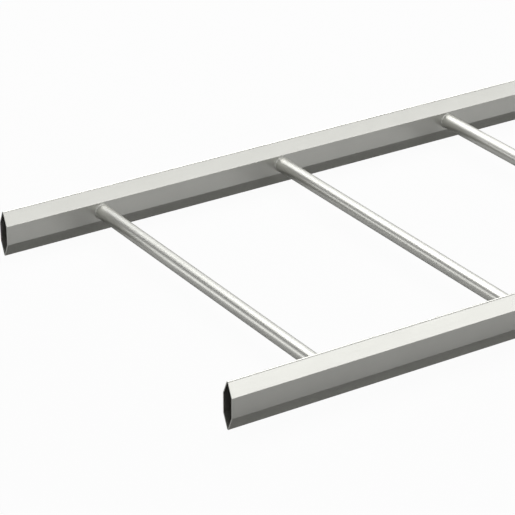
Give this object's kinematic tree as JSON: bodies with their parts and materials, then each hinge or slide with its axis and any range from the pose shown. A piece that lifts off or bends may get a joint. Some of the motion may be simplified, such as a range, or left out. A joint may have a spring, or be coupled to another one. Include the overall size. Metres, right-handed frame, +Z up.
{
  "type": "cable ladder section",
  "caption": "Straight cable ladder section: closed six-sided steel side rails joined by round tube rungs, with open rail ends for splices.",
  "frame": {"origin": "midway between the two rails and midway along them, on the floor under the rails", "axes": "+X along the rails, +Y across the ladder from the front rail to the rear rail, +Z up"},
  "size_m": [3, 0.5, 0.0555],
  "materials": {
    "rail_steel": "satin galvanised",
    "rung_steel": "satin galvanised, a little brighter than the rails"
  },
  "bodies": {
    "root": {"rail_front": "rail_steel", "rail_rear": "rail_steel", "rung_01": "rung_steel", "rung_02": "rung_steel", "rung_03": "rung_steel", "rung_04": "rung_steel", "rung_05": "rung_steel", "rung_06": "rung_steel", "rung_07": "rung_steel", "rung_08": "rung_steel", "rung_09": "rung_steel", "rung_10": "rung_steel", "rung_11": "rung_steel", "rung_12": "rung_steel"}
  },
  "joints": []
}
